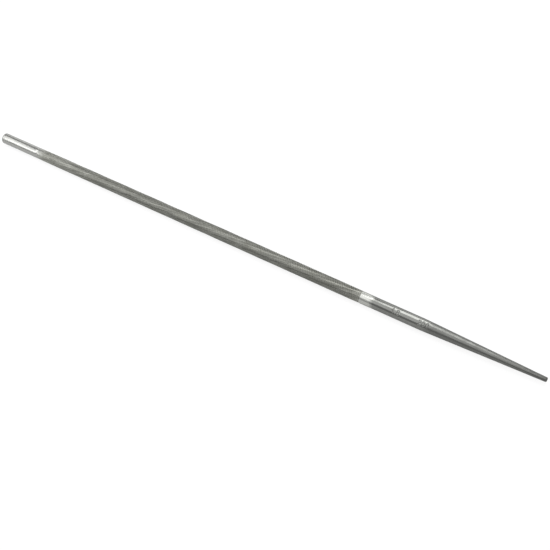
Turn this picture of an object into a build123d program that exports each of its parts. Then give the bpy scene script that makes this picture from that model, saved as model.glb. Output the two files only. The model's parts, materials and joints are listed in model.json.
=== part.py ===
from build123d import *
from math import atan, cos, degrees, radians
import os

# A round file for sharpening saw chain, in millimetres.
# X runs along the file from the point to the tang, and X = 0 is the heel,
# where the plain shank ends and the tang begins. The file's axis is the X axis.

# Lengths along the file, from the point to the tip of the tang
point_length = 20.5
cut_length = 155.2
band_length = 3.6
band_fall_length = 1.5
shank_length = 19.2
tang_length = 45.0

# Sizes across the file
smooth_diameter = 4.6
cut_width = 4.8
band_diameter = 4.7
tang_tip_diameter = 1.7

# Teeth, cut in rows that wind slowly round the file like a left-hand thread
tooth_rows = 9
tooth_pitch = 0.7
tooth_depth = 0.18
row_lead = 145.0
run_in_length = 5.5

# Edges
point_bevel = 0.4
tang_tip_round = 0.35

# Places along the file
shank_start = -shank_length
band_end = shank_start - band_fall_length
cut_end = band_end - band_length
cut_start = cut_end - cut_length
point_end = cut_start - point_length

# A ring of teeth has one straight cutting edge for each row, so it is a regular polygon.
# The width over the teeth is taken from the middle of one edge to the ridge opposite it.
half_row = radians(180 / tooth_rows)
smooth_radius = smooth_diameter / 2
ridge_radius = cut_width / (1 + cos(half_row))
ring_count = round(cut_length / tooth_pitch)
ring_pitch = cut_length / ring_count
ring_turn = 360 * ring_pitch / row_lead


def revolved(*profile):
    """Turn a half profile, given from the axis back to the axis, round the file's axis."""
    return revolve(make_face(Polyline(*profile, close=True)), Axis.X)


def plain_point():
    """The smooth end that leads the file, with a bevel round its end face."""
    return revolved(
        (point_end, 0),
        (point_end, smooth_radius - point_bevel),
        (point_end + point_bevel, smooth_radius),
        (cut_start, smooth_radius),
        (cut_start, 0),
    )


def tooth_ring(index):
    """One ring of teeth: a steep face towards the point, and backs that slope down to the tang.

    Where the cutting of the teeth ran in from the plain end, the first rings are shallow
    and still rounded like the blank, so their edges start short and widen ring by ring.
    """
    growth = min(1, (index + 1) * ring_pitch / run_in_length)
    back_fall = growth * tooth_depth
    back_slope = degrees(atan(back_fall * cos(half_row) / ring_pitch))
    ring = extrude(RegularPolygon(ridge_radius, tooth_rows), ring_pitch, taper=back_slope)
    if growth < 1:
        blank_radius = smooth_radius + growth * (ridge_radius - smooth_radius)
        resting = (Align.CENTER, Align.CENTER, Align.MIN)
        ring = ring & Cone(blank_radius, blank_radius - back_fall, ring_pitch, align=resting)
    turned_ring = Rot(Z=-index * ring_turn) * ring
    return Pos(X=cut_start + index * ring_pitch) * Rot(Y=90) * turned_ring


def shank_and_tang():
    """The bright band behind the teeth, the plain shank and the tapered tang, turned as one."""
    tip_radius = tang_tip_diameter / 2
    blank = revolved(
        (cut_end, 0),
        (cut_end, band_diameter / 2),
        (band_end, band_diameter / 2),
        (shank_start, smooth_radius),
        (0, smooth_radius),
        (tang_length, tip_radius),
        (tang_length, 0),
    )
    tip_edge = blank.edges().sort_by(Axis.X)[-1]
    return fillet(tip_edge, tang_tip_round)


def round_file():
    """The whole file: one piece of steel, toothed between its plain ends."""
    rings = [tooth_ring(index) for index in range(ring_count)]
    return plain_point() + rings + shank_and_tang()


os.makedirs("parts", exist_ok=True)
export_step(round_file(), "parts/round_file.step")
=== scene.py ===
# %% [markdown]
# # A round file for saw chain
# The CAD frame holds the file as one solid: a plain point, a toothed body, a bright band,
# a plain shank and a tapered tang. Its teeth are simple flat-sided rings.
# In this lesson the file gets the surface that the real one has. Slanted single teeth, a size
# stamped in the shank and four finishes of steel go on one mesh, which stands for the CAD solid.
# Every length is in metres, in the frame of the CAD: X runs from the point to the tang,
# and X = 0 is the heel, where the shank ends and the tang begins.

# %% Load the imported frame
import bpy
import json
import math
import numpy as np
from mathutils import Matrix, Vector

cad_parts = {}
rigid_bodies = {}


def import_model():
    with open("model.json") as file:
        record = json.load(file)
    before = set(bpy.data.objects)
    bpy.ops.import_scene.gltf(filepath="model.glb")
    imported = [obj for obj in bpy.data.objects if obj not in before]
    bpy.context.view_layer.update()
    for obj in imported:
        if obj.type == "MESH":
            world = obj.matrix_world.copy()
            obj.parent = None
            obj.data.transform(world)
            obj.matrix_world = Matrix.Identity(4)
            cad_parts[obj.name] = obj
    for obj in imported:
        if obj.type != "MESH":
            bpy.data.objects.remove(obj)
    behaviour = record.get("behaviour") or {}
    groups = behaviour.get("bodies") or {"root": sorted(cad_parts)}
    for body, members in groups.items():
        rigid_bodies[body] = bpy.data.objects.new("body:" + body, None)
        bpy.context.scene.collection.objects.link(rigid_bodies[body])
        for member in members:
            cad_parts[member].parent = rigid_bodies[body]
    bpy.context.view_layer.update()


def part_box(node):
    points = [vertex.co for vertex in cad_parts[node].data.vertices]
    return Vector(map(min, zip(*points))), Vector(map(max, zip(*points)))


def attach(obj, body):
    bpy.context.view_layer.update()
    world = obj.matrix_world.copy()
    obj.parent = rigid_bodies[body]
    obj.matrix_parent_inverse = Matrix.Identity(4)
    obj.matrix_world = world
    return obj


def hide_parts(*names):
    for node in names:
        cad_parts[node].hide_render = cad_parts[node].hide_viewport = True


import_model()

# %% [markdown]
# ## Sizes
# The overall length and the width over the ridges come from the frame, so the dressed file
# can't drift away from the solid. The rest are the driving sizes of the file itself.

# %% Sizes along and across the file
mm = 0.001
file_low, file_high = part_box("round_file")
point_end = file_low.x
tang_tip = file_high.x
ridge_radius = (file_high.z - file_low.z) / 2

point_length = 20.5 * mm
band_length = 3.6 * mm
band_fall_length = 1.5 * mm
shank_length = 19.2 * mm
smooth_radius = 2.3 * mm
band_radius = 2.35 * mm
tang_tip_radius = 0.85 * mm

shank_start = -shank_length
band_end = shank_start - band_fall_length
cut_end = band_end - band_length
cut_start = point_end + point_length
print(f"teeth run from {cut_start / mm:.1f} to {cut_end / mm:.1f} mm")

# %% [markdown]
# ## Camera
# The file is long and thin and lies across the picture, so its two ends fix the view.
# The near end looks wider than the far end, which tells how close the lens was: about
# 250 mm from the shank. The camera has no roll, so a place, a heading and a pitch are enough.

# %% Camera
picture_side = 550
lens_in_pixels = 700
camera_place = Vector((0.0261, -0.1491, 0.2056))
camera_pitch_down = math.radians(51.34)
camera_heading = math.radians(30.24)

camera_data = bpy.data.cameras.new("file_camera")
camera_data.sensor_width = 36
camera_data.lens = camera_data.sensor_width * lens_in_pixels / picture_side
camera_data.clip_start = 0.01
camera = bpy.data.objects.new("file_camera", camera_data)
camera.location = camera_place
camera.rotation_euler = (math.pi / 2 - camera_pitch_down, 0, camera_heading)
bpy.context.collection.objects.link(camera)
bpy.context.scene.camera = camera
print(f"lens {camera_data.lens:.1f} mm")

# %% [markdown]
# ## How the teeth lie
# A round file is cut with a narrow chisel, row beside row. Each blow raises one short tooth,
# and the nine rows wind slowly round the body. The CAD solid draws each row as a flat side.
# Here the edges follow the round of the steel, and keep the same middle width. The ridges
# between the rows lie where the CAD has them and follow the same turn.

# %% Rows and rings of teeth
tooth_rows = 9
tooth_pitch = 0.7 * mm
tooth_depth = 0.18 * mm
row_lead = 145 * mm
run_in_length = 5.5 * mm
first_ridge_angle = math.radians(30)

ring_count = round((cut_end - cut_start) / tooth_pitch)
ring_pitch = (cut_end - cut_start) / ring_count
row_angle = 2 * math.pi / tooth_rows
half_row = row_angle / 2
print(f"{ring_count} rings of {tooth_rows} teeth, {ring_pitch / mm:.3f} mm apart")


def row_turn(x):
    """How far the rows have turned round the file at x, in radians."""
    return -2 * math.pi * (x - cut_start) / row_lead


# %% [markdown]
# ## The shape of one tooth
# Seen from the side, a tooth has a steep face towards the point, a sharp edge, and a long
# back that falls to a small rounded gullet. Four points draw it. Seen from above, its edge
# is a little askew, because the chisel is held at a slant. A straight chisel cuts a round bar
# deepest in the middle of a row, so the teeth are half as deep at the ridges. One height on
# the tooth is held there, which keeps the body round while its teeth grow shallow.

# %% Tooth profile
profile_place = np.array([0.0, 0.42, 0.80, 0.94])
profile_drop = np.array([0.0, 0.42, 0.94, 1.0])
share_of_next_edge = np.array([0.0, 0.42, 0.80, 1.0])
points_in_profile = len(profile_place)
columns_in_row = 8
row_margin = math.radians(1.0)
edge_skew = 0.8 * mm
depth_lost_at_ridge = 0.5
held_drop = 0.4

column_angle = np.linspace(-half_row + row_margin, half_row - row_margin, columns_in_row)
off_middle = abs(column_angle) / column_angle.max()
depth_in_row = 1 - depth_lost_at_ridge * off_middle ** 3
flat_radius = ridge_radius * math.cos(half_row)
edge_radius = (flat_radius + ridge_radius) / 2
print(f"edge radius {edge_radius / mm:.3f} mm, flat sides of the CAD {flat_radius / mm:.3f} mm")

# %% [markdown]
# ## Small errors of the chisel
# No two blows fall quite alike, and teeth that are all the same look printed. Each row is
# shifted a little as a whole, and each tooth gets its own error in place and in height. The
# draws are seeded, so the same file comes out every time.

# %% Errors of the rows and of single teeth
seed = 48
largest_row_shift = 0.06 * mm
usual_place_error = 0.018 * mm
usual_height_error = 0.006 * mm
straight_rings = 3

random = np.random.default_rng(seed)
row_shift = random.uniform(-largest_row_shift, largest_row_shift, tooth_rows)
place_error = random.normal(0, usual_place_error, (ring_count + 1, tooth_rows))
height_error = random.normal(0, usual_height_error, (ring_count + 1, tooth_rows))
print("rows shifted by", np.round(row_shift / mm, 3), "mm")


def freedom(ring_number):
    """Share of its skew and errors that a ring keeps: none at the ends, which meet plain steel."""
    return np.clip(np.minimum(ring_number, ring_count - 1 - ring_number) / straight_rings, 0, 1)


# %% [markdown]
# ## The toothed body as a grid
# The teeth are laid out as a grid of points: four stations to a tooth along the file, and
# eight columns to a row round it. Numpy works out every point at once, which is far quicker
# than cutting the teeth one by one with a Boolean.

# %% Places of the tooth points along the file
ring = np.arange(ring_count)[:, None, None, None]
station = np.arange(points_in_profile)[None, :, None, None]
row = np.arange(tooth_rows)[None, None, :, None]
column = np.arange(columns_in_row)[None, None, None, :]

ring_x = cut_start + (ring + profile_place[station]) * ring_pitch
edge_shift = edge_skew * column_angle[column] / row_angle + row_shift[row]
this_shift = (edge_shift + place_error[ring, row]) * freedom(ring)
next_shift = (edge_shift + place_error[ring + 1, row]) * freedom(ring + 1)
tooth_x = ring_x + this_shift + share_of_next_edge[station] * (next_shift - this_shift)
print("tooth points:", tooth_x.size)

# %% Points of the toothed body
growth = np.clip((ring + 1) * ring_pitch / run_in_length, 0, 1)
top_radius = smooth_radius + growth * (edge_radius + height_error[ring, row] - smooth_radius)
drop = growth * (held_drop + (profile_drop[station] - held_drop) * depth_in_row[column])
tooth_radius = top_radius - tooth_depth * drop
angle_in_row = first_ridge_angle + (row + 0.5) * row_angle + column_angle[column]


def round_the_axis(x, radius, angle):
    """Points at this distance from the file's axis, at this angle from +Y towards +Z."""
    x, radius, angle = np.broadcast_arrays(x, radius, angle)
    return np.stack([x, radius * np.cos(angle), radius * np.sin(angle)], axis=-1)


body_columns = tooth_rows * columns_in_row
body_points = round_the_axis(tooth_x, tooth_radius, angle_in_row + row_turn(tooth_x))
body_points = body_points.reshape(ring_count * points_in_profile, body_columns, 3)
unwound = round_the_axis(tooth_x, tooth_radius, angle_in_row).reshape(-1, 3)
body_crest = np.broadcast_to(1 - drop, tooth_x.shape).ravel()
body_ridge = np.broadcast_to(off_middle[column] ** 2, tooth_x.shape).ravel()
body_cut = np.broadcast_to(growth, tooth_x.shape).ravel()
print("toothed body:", body_points.shape)

# %% [markdown]
# ## The stamped size
# The size is struck into the shank in two places: 4.8 mm across in the middle of the shank,
# and 200 mm long at the heel. Text cut with a Boolean would have walls like knives, so here
# the points of the shank are pressed in. Each sign is a few strokes on a unit grid. How deep a
# point goes depends on how far it lies from the nearest stroke, with a fine raised lip where
# the metal was pushed aside.

# %% Strokes of the stamped signs
def arc(centre, size, start, end, steps=14):
    """A curved stroke as a list of points, with its angles in degrees."""
    angles = np.radians(np.linspace(start, end, steps))
    return [(centre[0] + size[0] * math.cos(a), centre[1] + size[1] * math.sin(a)) for a in angles]


signs = {
    "4": [[(0.44, 0.0), (0.44, 1.0), (0.0, 0.32), (0.62, 0.32)]],
    ".": [[(0.06, 0.03), (0.10, 0.03)]],
    "8": [arc((0.3, 0.26), (0.28, 0.26), 0, 360), arc((0.3, 0.76), (0.23, 0.24), 0, 360)],
    "2": [arc((0.29, 0.73), (0.27, 0.27), 165, -35) + [(0.0, 0.0), (0.6, 0.0)]],
    "0": [arc((0.3, 0.5), (0.28, 0.5), 0, 360)],
}
sign_width = {"4": 0.86, ".": 0.36, "8": 0.84, "2": 0.84, "0": 0.84}
sign_height = 1.7 * mm
stamps = (("4.8", -11.9 * mm), ("200", -1.5 * mm))


def stamp_width(text):
    """How far a stamped text reaches along the shank."""
    return sum(sign_width[sign] for sign in text) * sign_height


def stamped_strokes():
    """Every straight bit of the stamps as (x, up, x, up), laid flat along the shank."""
    bits = []
    for text, left in stamps:
        for sign in text:
            for stroke in signs[sign]:
                for a, b in zip(stroke, stroke[1:]):
                    bits.append([left + a[0] * sign_height, (a[1] - 0.5) * sign_height,
                                 left + b[0] * sign_height, (b[1] - 0.5) * sign_height])
            left += stamp_width(sign)
    return np.array(bits)


stamp_strokes = stamped_strokes()
stamp_low, stamp_high = stamp_strokes[:, 0].min(), stamp_strokes[:, 2].max()
print(f"{len(stamp_strokes)} strokes from {stamp_low / mm:.1f} to {stamp_high / mm:.1f} mm")

# %% Depth of the stamp
stamp_depth = 0.06 * mm
stamp_angle = math.radians(119)
stroke_half_width = 0.11 * mm
wall_top = 1.5
lip_place, lip_width, lip_share = 1.7, 0.35, 0.25
print(f"stamped {stamp_depth / mm:.2f} mm deep, strokes {2 * stroke_half_width / mm:.2f} mm wide")


def stamped(x, angle):
    """How deep the stamp presses the surface in at these points, less its raised lip.

    The wall and the lip are placed by the gap to a stroke, counted in half widths of a stroke.
    """
    up = smooth_radius * ((stamp_angle - angle + math.pi) % (2 * math.pi) - math.pi)
    depth = np.zeros(x.shape)
    reach = 3 * stroke_half_width
    near = (x > stamp_low - reach) & (x < stamp_high + reach) & (abs(up) < sign_height / 2 + reach)
    px, pu = x[near], up[near]
    pressed = np.zeros(px.shape)
    lifted = np.zeros(px.shape)
    for ax, au, bx, bu in stamp_strokes:
        run_x, run_up = bx - ax, bu - au
        share = ((px - ax) * run_x + (pu - au) * run_up) / (run_x ** 2 + run_up ** 2)
        share = np.clip(share, 0, 1)
        gap = np.hypot(px - ax - share * run_x, pu - au - share * run_up) / stroke_half_width
        pressed = np.maximum(pressed, stamp_depth * np.clip(wall_top - gap, 0, 1))
        lip = np.exp(-((gap - lip_place) / lip_width) ** 2)
        lifted = np.maximum(lifted, lip_share * stamp_depth * lip)
    depth[near] = pressed - np.where(pressed > 0, 0, lifted)
    return depth


# %% [markdown]
# ## The plain parts
# The point, the band, the shank and the tang are turned shapes: a radius for each place along
# the file. A Screw modifier could spin them, but small things break the perfect turning. The
# band ends on a slant where it was ground by hand, the tang has a dent near its tip and is a
# little uneven, and the stamp lies on the shank. So behind the teeth one function gives the
# radius for any place and angle.

# %% Radius of the plain parts
band_slant, band_slant_angle = 0.45 * mm, math.radians(150)
nick_x, nick_angle = 40.3 * mm, math.radians(62)
nick_length, nick_angle_width, nick_depth = 0.9 * mm, 0.55, 0.07 * mm
tang_wave_height = 0.006 * mm


def plain_radius(x, angle):
    """Radius behind the teeth, at places along the file and angles round it."""
    taper = np.clip(x / tang_tip, 0, 1)
    radius = smooth_radius + taper * (tang_tip_radius - smooth_radius)
    fall_start = band_end + band_slant * np.cos(angle - band_slant_angle)
    fall = np.clip((x - fall_start) / band_fall_length, 0, 1)
    radius = radius + (band_radius - smooth_radius) * (1 - fall * fall * (3 - 2 * fall))
    turn = (angle - nick_angle + math.pi) % (2 * math.pi) - math.pi
    nick = np.exp(-((x - nick_x) / nick_length) ** 2 - (turn / nick_angle_width) ** 2)
    # Two crossing waves, 35 mm and 20 mm long, leave the tang a little uneven.
    waves = np.sin(5 * angle + 180 * x) * np.sin(2 * angle + 310 * x)
    return radius - nick_depth * nick + taper * tang_wave_height * waves - stamped(x, angle)


nick_floor = plain_radius(np.array([nick_x]), np.array([nick_angle]))[0]
print(f"radius at the floor of the dent {nick_floor / mm:.3f} mm")

# %% [markdown]
# ## Where the plain parts need points
# A turned part needs few points, but the stamp needs many. The columns stand close together
# only in the narrow strip that holds the stamp, and the stations only along its signs, at the
# dent, and where the band begins and ends.

# %% Columns and stations of the band, shank and tang
stamp_margin = 0.25 * mm
fine_count, coarse_count = 40, 65
stamp_half_angle = (sign_height / 2 + stamp_margin) / smooth_radius
fine_columns = stamp_angle + np.linspace(-stamp_half_angle, stamp_half_angle, fine_count)
rest_of_turn = 2 * math.pi - 2 * stamp_half_angle
coarse_share = np.arange(1, coarse_count + 1) / (coarse_count + 1)
coarse_columns = stamp_angle + stamp_half_angle + rest_of_turn * coarse_share
shank_angles = np.concatenate([fine_columns, coarse_columns])

tip_round = 0.35 * mm
nick_reach = 2.4 * mm
closest_stations = 0.03 * mm
runs_of_stations = [
    (cut_end, cut_end + 0.3 * mm, 0.1 * mm),
    (cut_end + 0.4 * mm, shank_start + 1.2 * mm, 0.35 * mm),
    (shank_start + 2 * mm, tang_tip - tip_round, 1.5 * mm),
    (nick_x - nick_reach, nick_x + nick_reach, 0.3 * mm),
]
for text, start in stamps:
    runs_of_stations.append((start - 0.3 * mm, start + stamp_width(text) + 0.1 * mm, 0.06 * mm))
shank_x = np.unique(np.concatenate([np.arange(*run) for run in runs_of_stations]))
shank_x = shank_x[np.concatenate([[True], np.diff(shank_x) > closest_stations])]
print(f"{len(shank_x)} stations of {len(shank_angles)} columns")

# %% Points of the band, shank and tang
tip_flat_radius = 0.25 * mm
steps_round_tip = 5
shank_grid = np.meshgrid(shank_x, shank_angles, indexing="ij")
shank_points = round_the_axis(shank_grid[0], plain_radius(*shank_grid), shank_grid[1])

bend = np.linspace(0, math.pi / 2, steps_round_tip + 1)[1:]
tip_x = tang_tip - tip_round + tip_round * np.append(np.sin(bend), 1)
tip_radius = np.append(tang_tip_radius - tip_round + tip_round * np.cos(bend), tip_flat_radius)
tip_points = round_the_axis(tip_x[:, None], tip_radius[:, None], shank_angles[None, :])
shank_points = np.concatenate([shank_points, tip_points])
print("band, shank and tang:", shank_points.shape)

# %% Points of the plain point
point_bevel = 0.4 * mm
plain_step = 1.5 * mm
bevel_foot = smooth_radius - point_bevel
bevel_profile = [
    (0, 0.7 * mm),
    (0, 1.6 * mm),
    (0, bevel_foot - 0.04 * mm),
    (0.04 * mm, bevel_foot + 0.025 * mm),
    (point_bevel - 0.04 * mm, smooth_radius - 0.055 * mm),
    (point_bevel + 0.02 * mm, smooth_radius - 0.01 * mm),
    (point_bevel + 0.1 * mm, smooth_radius),
]
plain_profile = [(x, smooth_radius) for x in np.arange(plain_step, 20 * mm, plain_step)]
last_profile = [(point_length - 0.03 * mm, smooth_radius)]
point_profile = np.array(bevel_profile + plain_profile + last_profile)
point_angles = first_ridge_angle + 2 * math.pi * np.arange(body_columns) / body_columns
point_points = round_the_axis(point_end + point_profile[:, :1], point_profile[:, 1:], point_angles)
print("point:", point_points.shape)

# %% [markdown]
# ## One closed mesh
# The three grids become one mesh. Inside a grid, neighbours are joined with four-sided faces.
# Where two grids meet, the points of their loops don't lie at the same angles, so a row of
# triangles walks round both loops at once. A fan closes each end.

# %% All points in one list
body_first = point_points.shape[0] * point_points.shape[1]
shank_first = body_first + body_points.shape[0] * body_points.shape[1]
point_centre = shank_first + shank_points.shape[0] * shank_points.shape[1]
tip_centre = point_centre + 1
grids = ((0, point_points), (body_first, body_points), (shank_first, shank_points))
centres = np.array([[point_end, 0, 0], [tang_tip, 0, 0]])
points = np.concatenate([grid.reshape(-1, 3) for first, grid in grids] + [centres])
print(len(points), "points in three grids and two centres")


def loop_numbers(first, grid, index):
    """Numbers of the points in one loop of a grid, whose first point has this number."""
    columns = grid.shape[1]
    start = first + (index % grid.shape[0]) * columns
    return np.arange(start, start + columns)


def angles_of(numbers):
    """Angles round the axis of some points, from nothing to a full turn."""
    return np.arctan2(points[numbers, 2], points[numbers, 1]) % (2 * math.pi)


# %% Faces within a grid and between two loops
def grid_faces(first, grid):
    """Faces of a grid that is closed round the file."""
    number = first + np.arange(grid.shape[0] * grid.shape[1]).reshape(grid.shape[:2])
    beside = np.roll(number, -1, axis=1)
    return np.stack([number[:-1], beside[:-1], beside[1:], number[1:]], axis=-1).reshape(-1, 4)


def joining_faces(loop_a, loop_b):
    """Triangles between two loops round the axis, walking along both in step."""
    angles_a, angles_b = angles_of(loop_a), angles_of(loop_b)
    order_a, order_b = np.argsort(angles_a), np.argsort(angles_b)
    a, b = loop_a[order_a], loop_b[order_b]
    at_a = np.append(angles_a[order_a], angles_a.min() + 2 * math.pi)
    at_b = np.append(angles_b[order_b], angles_b.min() + 2 * math.pi)
    triangles, i, j = [], 0, 0
    while i < len(a) or j < len(b):
        this_a, next_a = a[i % len(a)], a[(i + 1) % len(a)]
        this_b, next_b = b[j % len(b)], b[(j + 1) % len(b)]
        if j >= len(b) or (i < len(a) and at_a[i + 1] <= at_b[j + 1]):
            triangles.append((this_a, next_a, this_b))
            i += 1
        else:
            triangles.append((this_a, next_b, this_b))
            j += 1
    return triangles


# %% Build the mesh
faces = []
for first, grid in grids:
    faces += grid_faces(first, grid).tolist()
for (first_a, grid_a), (first_b, grid_b) in zip(grids, grids[1:]):
    faces += joining_faces(loop_numbers(first_a, grid_a, -1), loop_numbers(first_b, grid_b, 0))
first_loop = loop_numbers(0, point_points, 0)
last_loop = loop_numbers(shank_first, shank_points, -1)
faces += [(point_centre, b, a) for a, b in zip(first_loop, np.roll(first_loop, -1))]
faces += [(tip_centre, a, b) for a, b in zip(last_loop, np.roll(last_loop, -1))]

mesh = bpy.data.meshes.new("round_file_dressed")
mesh.from_pydata(points.tolist(), [], [list(map(int, face)) for face in faces])
mesh.validate()
mesh.update()
triangle_count = sum(len(face.vertices) - 2 for face in mesh.polygons)
print(f"{len(mesh.vertices)} points, {triangle_count} triangles")

# %% [markdown]
# ## Edges and numbers for the materials
# The faces are shaded smooth, and only edges that bend sharply stay crisp: the tooth edges
# and gullets. Each point also carries numbers for the materials. "crest" runs from 0 in a
# gullet to 1 on an edge, "ridge" is 1 along the ridges, "cut" says how far the teeth have
# grown there, and "struck" is 1 at the bottom of the stamp. "unwound" is the place with the
# winding taken out, for marks that follow a row.

# %% Sharp edges and numbers on the points
sharp_edge_angle = math.radians(28)
mesh.shade_smooth()
mesh.set_sharp_from_angle(angle=sharp_edge_angle)


def number_points(name, elsewhere, first, values):
    """A number on each point, which the materials read by this name."""
    numbers = np.full(len(points), elsewhere, np.float32)
    numbers[first:first + len(values)] = values
    mesh.attributes.new(name, "FLOAT", "POINT").data.foreach_set("value", numbers)


number_points("crest", 1, body_first, body_crest)
number_points("ridge", 0, body_first, body_ridge)
number_points("cut", 0, body_first, body_cut)
struck_share = np.clip(stamped(*shank_grid).ravel() / stamp_depth, 0, 1)
number_points("struck", 0, shank_first, struck_share)
places = points.astype(np.float32)
places[body_first:shank_first] = unwound
mesh.attributes.new("unwound", "FLOAT_VECTOR", "POINT").data.foreach_set("vector", places.ravel())
print("the points carry:", [name for name in mesh.attributes.keys() if not name.startswith(".")])

# %% Which faces are toothed
face_x = np.array([face.center.x for face in mesh.polygons])
is_toothed = (face_x > cut_start) & (face_x < cut_end)
mesh.polygons.foreach_set("material_index", is_toothed.astype(np.int32))
print(f"{is_toothed.sum()} toothed faces of {len(is_toothed)}")

# %% [markdown]
# ## Texture map
# A texture map that followed the whole file would be one thin line. This one cuts the file's
# skin into four strips laid side by side, which wastes little room on so long and thin a
# thing. The two end faces are laid flat in the margin above the strips.

# %% Place of each face corner round the file
loop_point = np.empty(len(mesh.loops), np.int32)
mesh.loops.foreach_get("vertex_index", loop_point)
loop_face = np.repeat(np.arange(len(mesh.polygons)), [face.loop_total for face in mesh.polygons])

even_share = np.arange(body_columns) / body_columns
shank_share = ((shank_angles - shank_angles[0]) / (2 * math.pi)) % 1
round_share = np.zeros(len(points))
for (first, grid), share in zip(grids, (even_share, even_share, shank_share)):
    round_share[first:first + grid.shape[0] * grid.shape[1]] = np.tile(share, grid.shape[0])

across = round_share[loop_point]
face_low = np.full(len(mesh.polygons), 2.0)
face_high = np.full(len(mesh.polygons), -1.0)
np.minimum.at(face_low, loop_face, across)
np.maximum.at(face_high, loop_face, across)
wraps = (face_high - face_low)[loop_face] > 0.5
across = np.where(wraps & (across < 0.5), across + 1, across)
print(f"{wraps.sum()} face corners wrap round the seam")

# %% Four strips and two end faces
strip_count = 4
strip_length = (tang_tip - point_end) / strip_count
strip_margin = 0.02
strips_high = 0.94
strip = np.clip(((face_x - point_end) / strip_length).astype(int), 0, strip_count - 1)[loop_face]
along = (points[loop_point, 0] - point_end) / strip_length - strip
map_u = strip_margin + (1 - 2 * strip_margin) * along
map_v = (strip + strip_margin + (1 - 2 * strip_margin) * across) * strips_high / strip_count

end_face_size = 0.05
end_height = 0.97
point_face_middle, tang_face_middle = 0.1, 0.2
is_end_face = (face_x < point_end + 0.01 * mm) | (face_x > tang_tip - 0.01 * mm)
on_end = is_end_face[loop_face]
end_scale = end_face_size / (2 * smooth_radius)
end_middle = np.where(face_x[loop_face] < 0, point_face_middle, tang_face_middle)
map_u = np.where(on_end, end_middle + points[loop_point, 1] * end_scale, map_u)
map_v = np.where(on_end, end_height + points[loop_point, 2] * end_scale, map_v)
uv_layer = mesh.uv_layers.new(name="OFBake")
uv_layer.data.foreach_set("uv", np.stack([map_u, map_v], axis=-1).astype(np.float32).ravel())
print(f"map spans {map_u.min():.3f} to {map_u.max():.3f} by {map_v.min():.3f} to {map_v.max():.3f}")

# %% The piece that stands for the CAD solid
dressed_file = bpy.data.objects.new("round_file_dressed", mesh)
bpy.context.collection.objects.link(dressed_file)
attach(dressed_file, "root")
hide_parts("round_file")
print(dressed_file.name, "stands for round_file")

# %% [markdown]
# ## Shader building blocks
# Nodes are easier to follow as short calls. One helper adds a node, sets its options and
# fills or links its sockets. The effects that the finishes share are node groups with named
# inputs, built once here.

# %% Helper that adds a node
def add(tree, kind, inputs=None, **options):
    """A new node with these options. An input given as an output socket is linked."""
    node = tree.nodes.new(kind)
    for name, value in options.items():
        setattr(node, name, value)
    for name, value in (inputs or {}).items():
        if isinstance(value, bpy.types.NodeSocket):
            tree.links.new(value, node.inputs[name])
        else:
            node.inputs[name].default_value = value
    return node


# %% Helpers for sums and colours
def maths(tree, operation, a, b=0.0, c=0.0, clamp=False):
    """The result of one sum on numbers or sockets."""
    return add(tree, "ShaderNodeMath", {0: a, 1: b, 2: c}, operation=operation, use_clamp=clamp).outputs[0]


def between(tree, share, low, high):
    """A number between two numbers, for a share from 0 to 1."""
    return add(tree, "ShaderNodeMapRange", {"Value": share, "To Min": low, "To Max": high}).outputs[0]


def either(tree, share, a, b):
    """A number between two numbers or sockets: a where the share is 0, b where it is 1."""
    return add(tree, "ShaderNodeMix", {"Factor": share, 2: a, 3: b}, data_type="FLOAT").outputs[0]


def blend(tree, share, a, b, way="MIX"):
    """A colour between two colours, or another way to put one on the other."""
    colours = {"Factor": share, 6: a, 7: b}
    return add(tree, "ShaderNodeMix", colours, data_type="RGBA", blend_type=way).outputs[2]


def fade_along(tree, place, start, end, first, last):
    """A number that changes from first to last between two places along the file."""
    along = add(tree, "ShaderNodeSeparateXYZ", {0: place}).outputs["X"]
    return add(tree, "ShaderNodeMapRange", {"Value": along, "From Min": start, "From Max": end,
                                            "To Min": first, "To Max": last}).outputs[0]


# %% Helpers for node groups
def new_group(name, inputs, outputs):
    """An empty node group with typed sockets, and its input and output nodes."""
    group = bpy.data.node_groups.new(name, "ShaderNodeTree")
    for direction, sockets in (("INPUT", inputs), ("OUTPUT", outputs)):
        for socket_name, socket_kind in sockets.items():
            group.interface.new_socket(socket_name, in_out=direction, socket_type=socket_kind)
    print("made group", name)
    return group, group.nodes.new("NodeGroupInput").outputs, group.nodes.new("NodeGroupOutput")


def use(tree, group, output, inputs):
    """One output of a node group that is placed in a material with these inputs."""
    return add(tree, "ShaderNodeGroup", inputs, node_tree=group).outputs[output]


# %% Group for the lines that grinding and drawing leave
line_grain, given, result = new_group(
    "Line grain",
    {"Place": "NodeSocketVector", "Fineness": "NodeSocketVector"},
    {"Grain": "NodeSocketFloat"},
)
stretched = add(line_grain, "ShaderNodeVectorMath", {0: given["Place"], 1: given["Fineness"]},
                operation="MULTIPLY")
noise = add(line_grain, "ShaderNodeTexNoise",
            {"Vector": stretched.outputs[0], "Scale": 1.0, "Detail": 3.0, "Roughness": 0.6})
spread = add(line_grain, "ShaderNodeMapRange",
             {"Value": noise.outputs[0], "From Min": 0.3, "From Max": 0.7})
line_grain.links.new(spread.outputs[0], result.inputs["Grain"])

# %% Group for the soft patches that oil and handling leave
oil_film, given, result = new_group(
    "Oil film",
    {"Place": "NodeSocketVector", "Patches per metre": "NodeSocketFloat", "Cover": "NodeSocketFloat"},
    {"Film": "NodeSocketFloat"},
)
noise = add(oil_film, "ShaderNodeTexNoise",
            {"Vector": given["Place"], "Scale": given["Patches per metre"],
             "Detail": 4.0, "Roughness": 0.55, "Distortion": 0.4})
threshold = maths(oil_film, "SUBTRACT", 1.0, given["Cover"])
above = maths(oil_film, "SUBTRACT", noise.outputs[0], threshold)
film = maths(oil_film, "MULTIPLY_ADD", above, 4.0, 0.5, clamp=True)
oil_film.links.new(film, result.inputs["Film"])

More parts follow.
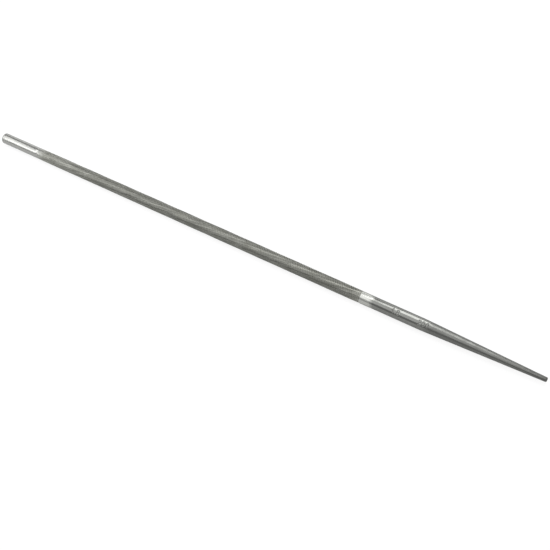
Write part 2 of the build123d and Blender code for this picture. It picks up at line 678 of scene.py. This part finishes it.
# %% Group for a stretch of the file with its own finish
stretch_mask, given, result = new_group(
    "Stretch of the file",
    {"Place": "NodeSocketVector", "Start": "NodeSocketFloat", "End": "NodeSocketFloat",
     "Softness": "NodeSocketFloat", "Slant": "NodeSocketFloat"},
    {"Mask": "NodeSocketFloat"},
)
parts = add(stretch_mask, "ShaderNodeSeparateXYZ", {0: given["Place"]}).outputs
slanted = maths(stretch_mask, "MULTIPLY_ADD", parts["Z"], given["Slant"], parts["X"])
noise = add(stretch_mask, "ShaderNodeTexNoise", {"Vector": given["Place"], "Scale": 1400.0, "Detail": 2.0})
ragged = maths(stretch_mask, "SUBTRACT", noise.outputs[0], 0.5)
ragged = maths(stretch_mask, "MULTIPLY_ADD", ragged, given["Softness"], slanted)
past_start = maths(stretch_mask, "SUBTRACT", ragged, given["Start"])
before_end = maths(stretch_mask, "SUBTRACT", given["End"], ragged)
sides = []
for side in (past_start, before_end):
    softened = maths(stretch_mask, "DIVIDE", side, given["Softness"])
    sides.append(maths(stretch_mask, "ADD", softened, 0.5, clamp=True))
both = maths(stretch_mask, "MULTIPLY", *sides)
stretch_mask.links.new(both, result.inputs["Mask"])

# %% [markdown]
# ## Plain steel
# The point and the band are ground bright. The shank keeps the smooth, darker skin of drawn
# and hardened wire, and the tang is duller, its tip painted darker as painted shade. Three
# materials could do it, but it is one piece of steel whose finishes run into each other, so it
# is one material, and masks along the file choose the finish. The rim of the point is duller
# and painted darker, a painted shade that fades its highlight there. The bottom of the stamp
# is painted dark, a painted shade in its recess.

# %% A new material
def new_material(name):
    """A material with an empty tree, its shader and the place of the point being shaded."""
    material = bpy.data.materials.new(name)
    material.use_nodes = True
    tree = material.node_tree
    tree.nodes.clear()
    shader = add(tree, "ShaderNodeBsdfPrincipled", {"Metallic": 1.0})
    output = tree.nodes.new("ShaderNodeOutputMaterial")
    tree.links.new(shader.outputs[0], output.inputs["Surface"])
    place = tree.nodes.new("ShaderNodeTexCoord").outputs["Object"]
    print("made", name)
    return material, tree, shader, place


# %% Where each finish of the plain steel lies
plain_steel, tree, shader, place = new_material("plain_steel")
far_before, far_behind = -1.0, 1.0
at_point = use(tree, stretch_mask, "Mask", {
    "Place": place, "Start": far_before, "End": cut_start + 5 * mm, "Softness": 1 * mm, "Slant": 0.0})
at_band = use(tree, stretch_mask, "Mask", {
    "Place": place, "Start": cut_end - 5 * mm, "End": shank_start - 0.2 * mm, "Softness": 1.6 * mm,
    "Slant": 0.25})
at_tang = use(tree, stretch_mask, "Mask", {
    "Place": place, "Start": 1.5 * mm, "End": far_behind, "Softness": 3 * mm, "Slant": -0.3})
ground = maths(tree, "MAXIMUM", at_point, at_band)

drawn = use(tree, line_grain, "Grain", {"Place": place, "Fineness": (60, 9000, 9000)})
turned = use(tree, line_grain, "Grain", {"Place": place, "Fineness": (16000, 700, 700)})
film = use(tree, oil_film, "Film", {"Place": place, "Patches per metre": 420.0, "Cover": 0.5})
film = maths(tree, "MULTIPLY", film, between(tree, ground, 1.0, 0.3))
struck = add(tree, "ShaderNodeAttribute", attribute_name="struck").outputs["Fac"]
print("masks for the point, the band and the tang")

# %% Colour of the plain steel
point_colour = (0.41, 0.413, 0.396, 1)
band_colour = (0.505, 0.512, 0.484, 1)
shank_colour = (0.231, 0.235, 0.223, 1)
tang_colour = (0.174, 0.177, 0.168, 1)
stamp_shade_colour = (0.08, 0.08, 0.075, 1)
film_colour = (0.12, 0.117, 0.108, 1)

colour = blend(tree, at_tang, shank_colour, tang_colour)
colour = blend(tree, at_point, colour, point_colour)
colour = blend(tree, at_band, colour, band_colour)
# Painted shade: the bottom of the stamp is painted darker, for the shade in its recess.
colour = blend(tree, maths(tree, "MULTIPLY", struck, 0.45), colour, stamp_shade_colour)
grain_and_painted_shade = either(tree, ground, between(tree, drawn, 0.88, 1.12), between(tree, turned, 0.96, 1.04))
# Painted shade: the tang's tip is painted darker, so its highlight fades towards the tip.
tang_tip_shade = fade_along(tree, place, 33 * mm, 41 * mm, 1.0, 0.85)
# Painted shade: the rim of the point is painted darker, so its highlight fades there.
point_rim_shade = fade_along(tree, place, point_end + 0.2 * mm, point_end + 1.6 * mm, 0.65, 1.0)
grain_and_painted_shade = maths(tree, "MULTIPLY", grain_and_painted_shade, maths(tree, "MULTIPLY", tang_tip_shade, point_rim_shade))
colour = blend(tree, 1.0, colour, grain_and_painted_shade, "MULTIPLY")
colour = blend(tree, between(tree, film, 0.0, 0.2), colour, film_colour)
tree.links.new(colour, shader.inputs["Base Color"])
print("the point reflects", point_colour[0], "and the tang", tang_colour[0])

# %% Shine and fine lines of the plain steel
shank_rough = between(tree, film, 0.12, 0.15)
tang_rough = between(tree, film, 0.26, 0.34)
ground_rough = between(tree, film, 0.23, 0.28)
duller_rim = fade_along(tree, place, point_end, point_end + 5 * mm, 1.7, 1.0)
ground_rough = maths(tree, "MULTIPLY", ground_rough, duller_rim)
rough = either(tree, ground, either(tree, at_tang, shank_rough, tang_rough), ground_rough)
tree.links.new(rough, shader.inputs["Roughness"])
height = either(tree, ground, drawn, turned)
bump = add(tree, "ShaderNodeBump", {"Strength": 0.5, "Distance": 0.002 * mm, "Height": height})
tree.links.new(bump.outputs[0], shader.inputs["Normal"])
mesh.materials.append(plain_steel)
print(plain_steel.name, "has", len(tree.nodes), "nodes")

# %% [markdown]
# ## Toothed steel
# The gullets between the teeth are darker than the teeth, and the tooth edges brighter. Cycles
# can find edges by their pointiness, but the number that each point carries already tells
# the shader which is which. The ridges are smoother than the rows, so they show as thin
# lines: bright where they mirror a lamp, dark elsewhere. Streaks follow the rows, and the
# teeth near both ends of the body are painted brighter, a painted highlight.

# %% What the points tell the toothed steel
toothed_steel, tree, shader, place = new_material("toothed_steel")
crest, ridge, cut = [add(tree, "ShaderNodeAttribute", attribute_name=name).outputs["Fac"]
                     for name in ("crest", "ridge", "cut")]
unwound_place = add(tree, "ShaderNodeAttribute", attribute_name="unwound").outputs["Vector"]
grain = use(tree, line_grain, "Grain", {"Place": place, "Fineness": (2600, 2600, 2600)})
streaks = use(tree, line_grain, "Grain", {"Place": unwound_place, "Fineness": (140, 2000, 2000)})
film = use(tree, oil_film, "Film", {"Place": place, "Patches per metre": 260.0, "Cover": 0.5})
out_of_gullet = maths(tree, "MULTIPLY_ADD", crest, 1.6, 0.05, clamp=True)
on_edge = maths(tree, "POWER", crest, 6.0)
grown = maths(tree, "MULTIPLY", cut, 1.5, clamp=True)
print("masks for the gullets, the edges and the first teeth")

# %% Colour of the toothed steel
gullet_colour = (0.142, 0.144, 0.127, 1)
tooth_colour = (0.227, 0.228, 0.209, 1)
edge_colour = (0.315, 0.318, 0.295, 1)
oil_colour = (0.14, 0.14, 0.112, 1)

colour = blend(tree, out_of_gullet, gullet_colour, tooth_colour)
colour = blend(tree, on_edge, colour, edge_colour)
shade = maths(tree, "MULTIPLY", between(tree, grain, 0.78, 1.22), between(tree, streaks, 0.65, 1.35))
# Painted highlight: the teeth near both ends of the body are painted brighter, where their highlight is
# brighter.
painted_highlight_start = fade_along(tree, place, cut_start + 6 * mm, cut_start + 36 * mm, 1.43, 1.0)
painted_highlight_end = fade_along(tree, place, cut_end - 4 * mm, cut_end, 1.0, 1.4)
for brighter in (painted_highlight_start, painted_highlight_end):
    shade = maths(tree, "MULTIPLY", shade, brighter)
colour = blend(tree, 1.0, colour, shade, "MULTIPLY")
colour = blend(tree, between(tree, film, 0.0, 0.25), colour, oil_colour)
colour = blend(tree, grown, point_colour, colour)
tree.links.new(colour, shader.inputs["Base Color"])
print("the tooth edges reflect", edge_colour[0], "and the gullets", gullet_colour[0])

# %% Shine and grain of the toothed steel
point_rough = 0.26
ridge_smoothness = between(tree, maths(tree, "MULTIPLY", ridge, grown), 1.0, 0.38)
rough = maths(tree, "MULTIPLY_ADD", grain, 0.14, 0.52)
rough = either(tree, grown, point_rough, rough)
rough = maths(tree, "MULTIPLY", rough, ridge_smoothness)
tree.links.new(rough, shader.inputs["Roughness"])
bump = add(tree, "ShaderNodeBump", {"Strength": 0.6, "Distance": 0.006 * mm, "Height": grain})
tree.links.new(bump.outputs[0], shader.inputs["Normal"])
mesh.materials.append(toothed_steel)
print(toothed_steel.name, "has", len(tree.nodes), "nodes")

# %% [markdown]
# ## Floor, world and lamps
# The file lies on a plain white floor. Four soft lamps hang over it and two low panels stand
# beside it. Polished steel shows little of its own but the lamps it mirrors, so their places
# and sizes draw the long highlights, which wander from the middle of the point towards the
# far side of the tang. The camera sees the floor as white, while the steel sees it as plain
# paint in the light of the lamps.

# %% Floor
floor_gap = 0.02 * mm
floor_half = 1.5
floor_height = -ridge_radius - floor_gap
floor_mesh = bpy.data.meshes.new("floor")
corner_signs = ((-1, -1), (1, -1), (1, 1), (-1, 1))
corners = [(x * floor_half, y * floor_half, floor_height) for x, y in corner_signs]
floor_mesh.from_pydata(corners, [], [(0, 1, 2, 3)])
floor = bpy.data.objects.new("floor", floor_mesh)
bpy.context.collection.objects.link(floor)
print(f"floor at {floor_height / mm:.2f} mm")

# %% Paint of the floor
floor_paint, floor_paint_in_picture = 0.85, 0.2
floor_glow_in_picture, floor_glow_in_steel = 0.84, 0.01


def ray_kinds(tree):
    """Two masks: 1 for what the camera sees, and 1 for what steel or glass mirrors."""
    path = tree.nodes.new("ShaderNodeLightPath").outputs
    mirrored = maths(tree, "ADD", path["Is Glossy Ray"], path["Is Transmission Ray"], clamp=True)
    return path["Is Camera Ray"], mirrored


floor_material = bpy.data.materials.new("white_floor")
floor_material.use_nodes = True
tree = floor_material.node_tree
tree.nodes.clear()
in_picture, mirrored = ray_kinds(tree)
glow = maths(tree, "MULTIPLY", mirrored, floor_glow_in_steel)
glow = maths(tree, "MULTIPLY_ADD", in_picture, floor_glow_in_picture, glow)
paint = between(tree, in_picture, floor_paint, floor_paint_in_picture)
shader = add(tree, "ShaderNodeBsdfPrincipled", {
    "Base Color": paint, "Roughness": 0.9, "Specular IOR Level": 0.1,
    "Emission Color": (1, 1, 1, 1), "Emission Strength": glow})
output = tree.nodes.new("ShaderNodeOutputMaterial")
tree.links.new(shader.outputs[0], output.inputs["Surface"])
floor_mesh.materials.append(floor_material)
print("made", floor_material.name)

# %% World
room_light, room_light_in_steel = 0.3, 0.45

world = bpy.data.worlds.new("studio")
world.use_nodes = True
bpy.context.scene.world = world
tree = world.node_tree
tree.nodes.clear()
in_picture, mirrored = ray_kinds(tree)
strength = between(tree, mirrored, room_light, room_light_in_steel)
strength = maths(tree, "MAXIMUM", strength, in_picture)
background = add(tree, "ShaderNodeBackground", {"Color": (1, 1, 1, 1), "Strength": strength})
output = tree.nodes.new("ShaderNodeOutputWorld")
tree.links.new(background.outputs[0], output.inputs["Surface"])
print("made", world.name)


# %% Lamps
def soft_lamp(name, place, size, strength, target=None):
    """A rectangular lamp that faces down, or towards a target. Strength is its surface's brightness."""
    data = bpy.data.lights.new(name, "AREA")
    data.shape = "RECTANGLE"
    data.size, data.size_y = size
    data.energy = strength * math.pi * size[0] * size[1]
    lamp = bpy.data.objects.new(name, data)
    lamp.location = place
    if target:
        lamp.rotation_euler = (Vector(target) - Vector(place)).to_track_quat("-Z", "Y").to_euler()
    bpy.context.collection.objects.link(lamp)
    print(f"{name}: {data.energy:.2f} W")


soft_lamp("softbox_over_teeth", (-0.293, -0.166, 0.5), (0.303, 0.494), 1.6)
soft_lamp("softbox_beyond_point", (-0.79, -0.243, 0.5), (0.354, 0.755), 2.5)
soft_lamp("softbox_behind_shank", (-0.027, 0.25, 0.5), (0.166, 0.48), 3.3)
soft_lamp("wide_softbox_in_front", (-0.01, -0.27, 0.5), (0.53, 0.746), 0.91)
soft_lamp("low_front_panel", (-0.575, -0.495, 0.3), (0.55, 0.20), 2.0, (-0.08, 0, 0))
soft_lamp("low_back_panel", (-0.33, 0.65, 0.29), (1.4, 0.28), 1.05, (-0.33, 0, 0))

# %% [markdown]
# The Standard view shows colours as they are written.

# %% View
bpy.context.scene.view_settings.view_transform = "Standard"
